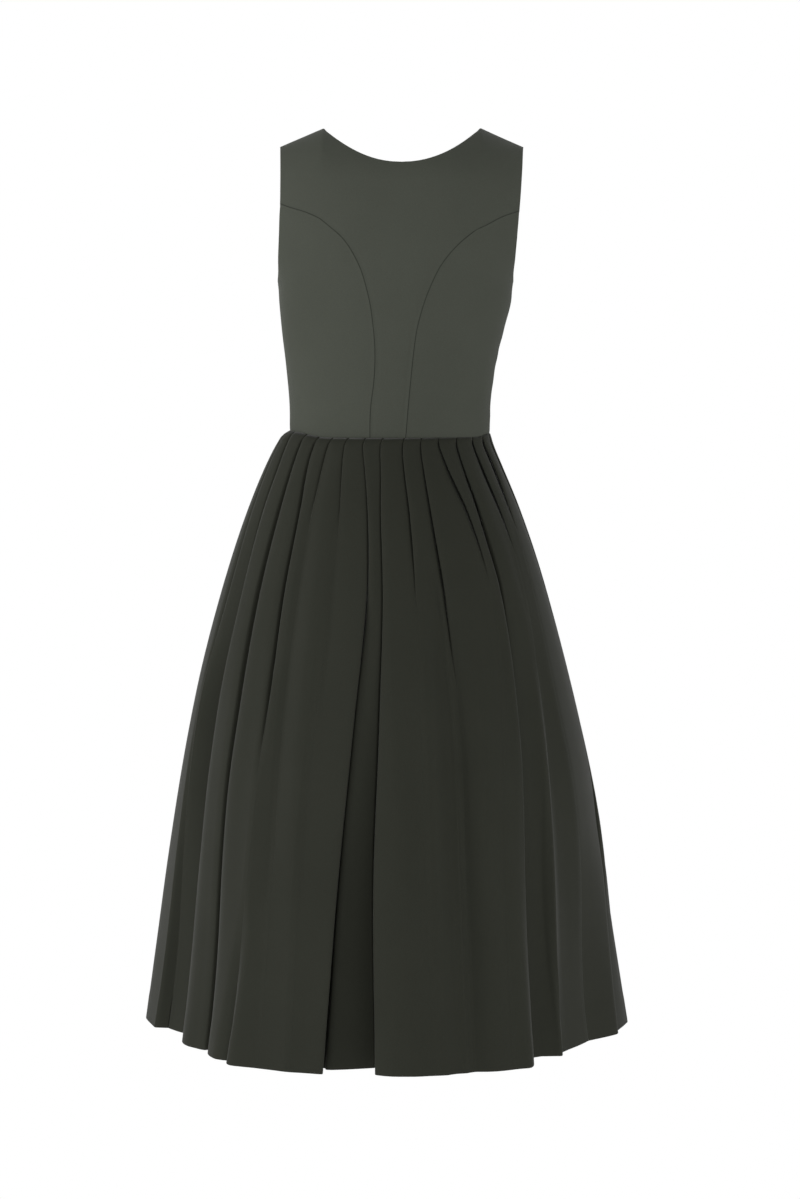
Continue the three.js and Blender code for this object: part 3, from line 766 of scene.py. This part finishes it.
# Soft ridges (height above 0) and troughs between the pleats, from start to end down the skirt.
skirtCreases = tableOf(
    "start end top middle bottom height width",
    [
        (0.02, 0.36, 48, 51, 54, 2.5, 9),
        (0.2, 1.05, 18, 17, 15.8, -20, 6),
        (0.25, 1.1, 22, 21, 20, -16, 15),
        (0.3, 1.1, 14, 14, 14, 3, 12),
        (0.6, 1.3, 33, 33.5, 34, 4, 11),
        (0.36, 1.4, 52.5, 48.5, 43.5, 17, 11),
        (0.25, 1.5, 43, 39.5, 33, 10, 9),
        (0.36, 0.85, -38, -38, -36, 4, 13),
        (0, 0.75, -31, -30, -31, -4, 9),
        (0.05, 0.8, -26, -24.5, -25, 4, 13),
        (0.03, 0.5, -19, -17, -17, -2, 8),
        (0.5, 1.3, -24, -23, -22, 3, 16),
        (0.4, 1.2, 3, 6, 7, 2.5, 12),
        (0.5, 1.3, -60, -60, -60, 3, 12),
        (0.3, 1.2, 90, 90, 90, 4, 16),
        (0.1, 0.6, 128, 129, 130, -3, 12),
        (0.4, 1.3, 131, 131, 131, 4, 14),
        (0.3, 0.9, 150, 150, 150, -6, 16),
        (0.5, 1.3, 162, 162, 162, 4, 14),
        (0.2, 0.8, 181, 181, 182, -6, 17),
        (0.5, 1.3, 192, 193, 194, 4, 13),
        (0.3, 1.0, 203, 203, 203, 3, 12),
        (0.4, 1.3, 227, 228, 229, 4, 14),
        (0.3, 0.9, 240, 241, 241, -5, 14),
        (0.5, 1.3, 255, 255, 255, 3, 14),
    ],
)


class SkirtRow:  # one level row of the skirt
    def __init__(self, share):
        self.share = share
        spread = readTable(skirtSpread, "share", "spread", share)
        self.centre = readTable(skirtSpread, "share", "centre", share)
        self.size = {name: mix(skirtWaist[name], skirtHem[name], spread) for name in skirtWaist}
        self.angles = [math.radians(readTable(path, "share", "angle", share)) for path in foldPaths]
        self.states = [self.pleatState(fold, rounding) for fold, rounding in zip(folds, roundings)]

    def depthAt(self, angle):
        return self.size["back" if math.cos(angle) > 0 else "front"]

    def pace(self, angle):  # millimetres for each radian round the row
        across, deep = self.size["halfWidth"] * math.cos(angle), self.depthAt(angle) * math.sin(angle)
        return math.hypot(across, deep)

    def place(self, angle, inset):  # a point that lies that far inside the row's oval
        half, depth = self.size["halfWidth"], self.depthAt(angle)
        pace = self.pace(angle)
        inset = inset - self.creaseHeight(angle, pace)
        x = self.centre + half * math.sin(angle) - inset * depth * math.sin(angle) / pace
        return (x, -depth * math.cos(angle) + inset * half * math.cos(angle) / pace)

    def creaseHeight(self, angle, pace):
        height = 0
        degree = math.degrees(angle)
        for crease in skirtCreases:
            if not crease["start"] < self.share < crease["end"]:
                continue
            t = (self.share - crease["start"]) / (crease["end"] - crease["start"])
            upper = mix(crease["top"], crease["middle"], t)
            lower = mix(crease["middle"], crease["bottom"], t)
            away = (degree - mix(upper, lower, t) + 180) % 360 - 180
            off = math.radians(away) * pace
            if abs(off) < 3 * crease["width"]:
                height += crease["height"] * bell(off, crease["width"]) * math.sin(math.pi * t) ** 0.7
        swell = smoothStep(0.1, 0.8, self.share) * skirt["unevenness"]  # none near the waist
        around = Vector((math.sin(angle) * 4.2, math.cos(angle) * 4.2, self.share * 1.6))
        return height + swell * noise.noise(around)

    # How far a pleat has opened, leant over and rounded off at this row.
    def pleatState(self, fold, rounding):
        share, stays = self.share, fold["flat"] > 1
        opened = smoothStep(fold["opens"], 1 if stays else fold["flat"], share)
        settled = smoothStep(fold["sets"], 1, share)
        lean, left, change = 1, (1 - opened) ** 1.1, settled
        fading = left
        if stays:
            lean = mix(1, fold["lean"], smoothStep(fold["opens"], fold["opens"] + 0.35, share))
            left, change = 1, smoothStep(0.2, 0.8, share)
            fading = 1 - change
        standing = math.cos(lean * math.pi / 2)
        widening = skirt["flatMouth"] * smoothStep(0.6, 1, opened)
        if stays:
            widening = skirt["standingMouth"] * standing * opened
        tuck = skirt["foldedTuck"] * (1 - 0.2 * smoothStep(0, 0.14, share))
        # All is flat at the waist, and rounds off fast at first and then slowly.
        growth = 0.25 * smoothStep(0, 0.012, share) + 0.75 * (1 - math.exp(-share / 0.16))
        dip = skirt["dip"] * growth * left
        return {
            "lean": lean,  # 1 tucks in to the right, -1 to the left, 0 stands straight
            "folded": math.sin(abs(lean) * math.pi / 2),
            "standing": standing,
            "tuck": tuck * left,
            "depth": mix(tuck, fold["depth"], opened) if stays else tuck * left,
            "mouth": skirt["waistMouth"] + 0.5 * smoothStep(0, 0.4, share) + widening,
            "step": skirt["layerStep"] * mix(1, 2, smoothStep(0, 0.5, share)) * left**0.8,
            "left": fold["left"] * settled + dip * min(1, max(0, lean * 2)),
            "right": fold["right"] * settled + dip * min(1, max(0, -lean * 2)),
            "crestLeft": growth * (rounding["topLeft"] * fading + rounding["hemLeft"] * change),
            "crestRight": growth * (rounding["topRight"] * fading + rounding["hemRight"] * change),
            "under": rounding["under"] * smoothStep(0.15, 0.8, share),
            "soft": 0 if stays else opened,
        }

    # The turns of one pleat, as (along, inset) from its folded edge.
    def pleatTurns(self, state, roomRight, roomLeft):
        lean, folded, standing = state["lean"], state["folded"], state["standing"]
        mouth, step, under = state["mouth"], state["step"], state["under"]
        left, right = state["left"] + state["crestLeft"], state["right"] + state["crestRight"]
        toRight = lean > 0
        reach = min(state["tuck"], roomRight if toRight else roomLeft)
        deeper = max(left, right)
        shut = min(1, 3 * folded)
        forward = mix((left + deeper) / 2, deeper if toRight else left, shut)
        back = mix((right + deeper) / 2, right if toRight else deeper, shut)
        far = reach if toRight else -mouth - reach

        def turnAt(along, base, flatU, flatV, standV, slid):
            u = folded * flatU - standing * mouth * (1 - along) - slid * under
            return (u, base + folded * flatV * step + standing * state["depth"] * standV)

        return [
            (-mouth, left),
            turnAt(0.12, forward, -0.9 if toRight else -mouth, 2 if toRight else 1, 0.5, 0.5),
            turnAt(0.4, deeper, far, 4 if toRight else 3, 1, 1.1),
            turnAt(0.6, deeper, far, 3 if toRight else 4, 1, 1.1),
            turnAt(0.88, back, 0 if toRight else 1.3 - mouth, 1 if toRight else 2, 0.5, 1),
            (-under, right),
        ]

    # The pleat's turns as places, then those of the panel on its right up to the next pleat.
    def pleatAndPanel(self, j):
        count, turn = len(folds), 2 * math.pi
        before, after = (j - 1) % count, (j + 1) % count
        angle = self.angles[j]
        angleAhead = (self.angles[after] - angle) % turn
        angleBehind = (angle - self.angles[before]) % turn
        ahead = angleAhead * self.pace(angle + angleAhead / 2)
        behind = angleBehind * self.pace(angle - angleBehind / 2)
        state, following = self.states[j], self.states[after]
        roomRight = ahead - following["mouth"] + skirt["waistMouth"] * following["folded"]
        roomRight -= skirt["clearance"] * (1 - following["folded"])
        roomLeft = behind - state["mouth"] - self.states[before]["tuck"] - skirt["clearance"]

        def at(u, inset):
            return self.place(angle + u / self.pace(angle + u / (2 * self.pace(angle))), inset)

        turns = [at(u, inset) for u, inset in self.pleatTurns(state, roomRight, roomLeft)]
        start, end = -state["under"], ahead - following["mouth"]
        length = end - start
        crestStart, crestEnd = state["crestRight"], following["crestLeft"]
        widthStart = min(length * 0.45, skirt["crestBase"] + skirt["crestRun"] * crestStart)
        widthEnd = min(length * 0.45, skirt["crestBase"] + skirt["crestRun"] * crestEnd)
        nearStart = min(widthStart * 0.5, skirt["foldRadius"] + skirt["softRadius"] * state["soft"])
        nearEnd = min(widthEnd * 0.5, skirt["foldRadius"] + skirt["softRadius"] * following["soft"])
        steps = (0, 0.35, 0.7, 1)
        places = [mix(nearStart, widthStart, step) for step in steps]
        places += [mix(widthStart, length - widthEnd, step) for step in (1 / 3, 2 / 3)]
        places += [length - mix(nearEnd, widthEnd, step) for step in reversed(steps)]
        panel = []
        for u in places:
            share = u / length
            inset = mix(state["right"], following["left"], mix(share, smoothStep(0, 1, share), 0.3))
            inset += crestStart * max(0, 1 - u / widthStart) ** 2
            inset += crestEnd * max(0, 1 - (length - u) / widthEnd) ** 2
            panel.append(self.place(angle + angleAhead * (start + u) / ahead, inset))
        return turns, panel


def smoothLine(controls):  # a soft curve through the middles of a line of (x, y, samples)
    line = [controls[0][:2]]
    for before, here, after in zip(controls, controls[1:], controls[2:]):
        for i in range(here[2]):
            t = (i + 0.5) / here[2]
            weighted = list(zip(((1 - t) ** 2 / 2, 0.5 + t - t * t, t * t / 2), (before, here, after)))
            line.append(tuple(sum(weight * place[axis] for weight, place in weighted) for axis in (0, 1)))
    line.append(controls[-1][:2])
    return line


turnSamples = [2, 3, 3, 3, 3, 4]
panelSamples = [2, 1, 1, 1, 1, 1, 1, 1, 1, 2]


# A row's line of cloth from inside one pleat to inside another, where the side seams are.
def skirtStretch(row, firstPleat, lastPleat):
    pieces = [row.pleatAndPanel(j % len(folds)) for j in range(firstPleat, lastPleat + 1)]

    def seam(turns, direction):
        inner, outer = Vector(turns[2]), Vector(turns[3])
        middle = (inner + outer) / 2 + (outer - inner).normalized() * direction * skirt["seamGap"] / 2
        return (middle.x, middle.y, 1)

    controls = [seam(pieces[0][0], 1)]
    for number, (turns, panel) in enumerate(pieces):
        first, last = number == 0, number == len(pieces) - 1
        turned = [(*place, samples) for place, samples in zip(turns, turnSamples)]
        if first:
            turned = turned[3:]
        if last:
            turned = turned[:3]
        controls += turned
        if not last:
            controls += [(*place, samples) for place, samples in zip(panel, panelSamples)]
    controls.append(seam(pieces[-1][0], -1))
    return smoothLine(controls)


def skirtShares():
    shares = [(i / skirt["rows"]) ** skirt["crowding"] for i in range(skirt["rows"])]
    length = skirt["top"] - skirt["hem"]
    return shares + [1 - step / length for step in hemSteps]


def hemShare(up):  # the share of the hem's wall at a height above the hem, rounded off at its edge
    doubled = 1 - smoothStep(skirt["hemDepth"] - 1, skirt["hemDepth"], up)
    wall = mix(skirt["wall"], skirt["hemWall"], doubled)
    edge = min(1, up / (skirt["hemWall"] / 2))
    return wall / skirt["hemWall"] * math.sqrt(max(0.02, 1 - (1 - edge) ** 2))


def skirtPanel(name, firstPleat, lastPleat):
    points, shares, places = [], [], []
    for share in skirtShares():
        z = mix(skirt["top"], skirt["hem"], share)
        row = SkirtRow(share)
        line = skirtStretch(row, firstPleat, lastPleat)
        if not places:
            steps = np.linalg.norm(np.diff(np.array(line), axis=0), axis=1)
            across = np.concatenate([[0], np.cumsum(steps)])
        lifts = [waistLift((x - row.centre) / row.size["halfWidth"]) * (1 - share) ** 4 for x, y in line]
        points.append([(x, y, z + lift) for (x, y), lift in zip(line, lifts)])
        shares.append([hemShare(z - skirt["hem"])] * len(line))
        places.append([(u, share * skirt["flat"][1] * 1000) for u in across])
    points, places = [row[::-1] for row in points], [row[::-1] for row in places]
    piece = clothMesh(name, points, shares, places, skirt["hemWall"])
    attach(piece, "root")
    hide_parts(nodeOf(name))
    return piece


def makeSkirt(cloth):
    half = len(folds) // 2
    for piece in (skirtPanel("skirtBack", 0, half), skirtPanel("skirtFront", half, len(folds))):
        piece.data.materials.append(cloth)
        print(piece.name, "made:", len(piece.data.polygons), "faces")


skirtLook = {
    "colour": (0.031, 0.033, 0.0235),
    "deep": (0.025, 0.0265, 0.0188),
    # seam: the colour of painted seam shade, which the skirt's pieces don't carry
    "seam": (0.012, 0.013, 0.01),
    "light": (0.038, 0.04, 0.029),
    "twillAngle": 45,
    "twillPeriod": 0.0009,
    "threadPeriod": 0.0007,
    "cloudScale": 8.0,
    "cloudTone": 0.45,
    "fibreTone": 0.9,
    "twillTone": 0.25,
    "relief": 0.3,
    "roughness": 0.75,
    "constants": {"Sheen Weight": 0.18, "Sheen Roughness": 0.3, "Specular IOR Level": 0.22},
}
makeSkirt(weaveMaterial("skirtCloth", skirtLook))

# Floor and light: a pale floor well below the hem, a soft box on either side, one in front.
studio = {
    "floor": -1.42,
    "floorRadius": 9,
    "floorColour": (0.9, 0.9, 0.9, 1),
    "floorGlow": 0.14,
    "surround": 0.46,
    "lights": tableOf(
        "name x y z aimZ width height power",
        [
            ("leftSide", -2.9, -0.8, 0.3, -0.2, 0.9, 2, 29),
            ("rightSide", 2.5, -1.4, -1.2, -1.1, 0.8, 0.6, 12),
            ("frontBox", -0.8, -4, 0.9, -0.5, 1.8, 1.2, 22),
        ],
    ),
}


# The surroundings are seen as plain white, while they light the dress as lit.
def seenAndLit(shader, lit, output):
    ray = shader.node("ShaderNodeLightPath", output="Is Camera Ray")
    kind = "ShaderNodeBackground" if output == "World Output" else "ShaderNodeEmission"
    seen = shader.node(kind, {}, {"Color": (1, 1, 1, 1), "Strength": 1.0})
    both = shader.node("ShaderNodeMixShader", {}, {0: ray, 1: lit, 2: seen})
    shader.feed(shader.tree.nodes[output], {"Surface": both})


def makeStudio():
    bpy.ops.mesh.primitive_circle_add(
        vertices=96,
        radius=studio["floorRadius"],
        fill_type="NGON",
        location=(0, 0, studio["floor"]),
    )
    floor = bpy.context.object
    floor.name = "floor"
    pale = bpy.data.materials.new("paleFloor")
    shader = Shader(pale)
    surface = {"Base Color": studio["floorColour"], "Roughness": 0.9}
    surface |= {"Emission Color": (1, 1, 1, 1), "Emission Strength": studio["floorGlow"]}
    shader.feed(shader.tree.nodes["Principled BSDF"], surface)
    seenAndLit(shader, Wire(shader, shader.tree.nodes["Principled BSDF"].outputs[0]), "Material Output")
    floor.data.materials.append(pale)
    world = bpy.data.worlds.new("studio")
    shader = Shader(world)
    bpy.context.scene.world = world
    lit = shader.node("ShaderNodeBackground", {}, {"Strength": studio["surround"]})
    seenAndLit(shader, lit, "World Output")
    for light in studio["lights"]:
        where = Vector((light["x"], light["y"], light["z"]))
        aim = (Vector((0, 0, light["aimZ"])) - where).to_track_quat("-Z", "Y")
        bpy.ops.object.light_add(type="AREA", location=where, rotation=aim.to_euler())
        lamp = bpy.context.object
        lamp.name = light["name"]
        lamp.data.shape = "RECTANGLE"
        lamp.data.size, lamp.data.size_y = light["width"], light["height"]
        lamp.data.energy = light["power"]
    bpy.context.scene.view_settings.view_transform = "Standard"
    print("studio made:", len(studio["lights"]), "lights")


makeStudio()
bpy.context.view_layer.update()
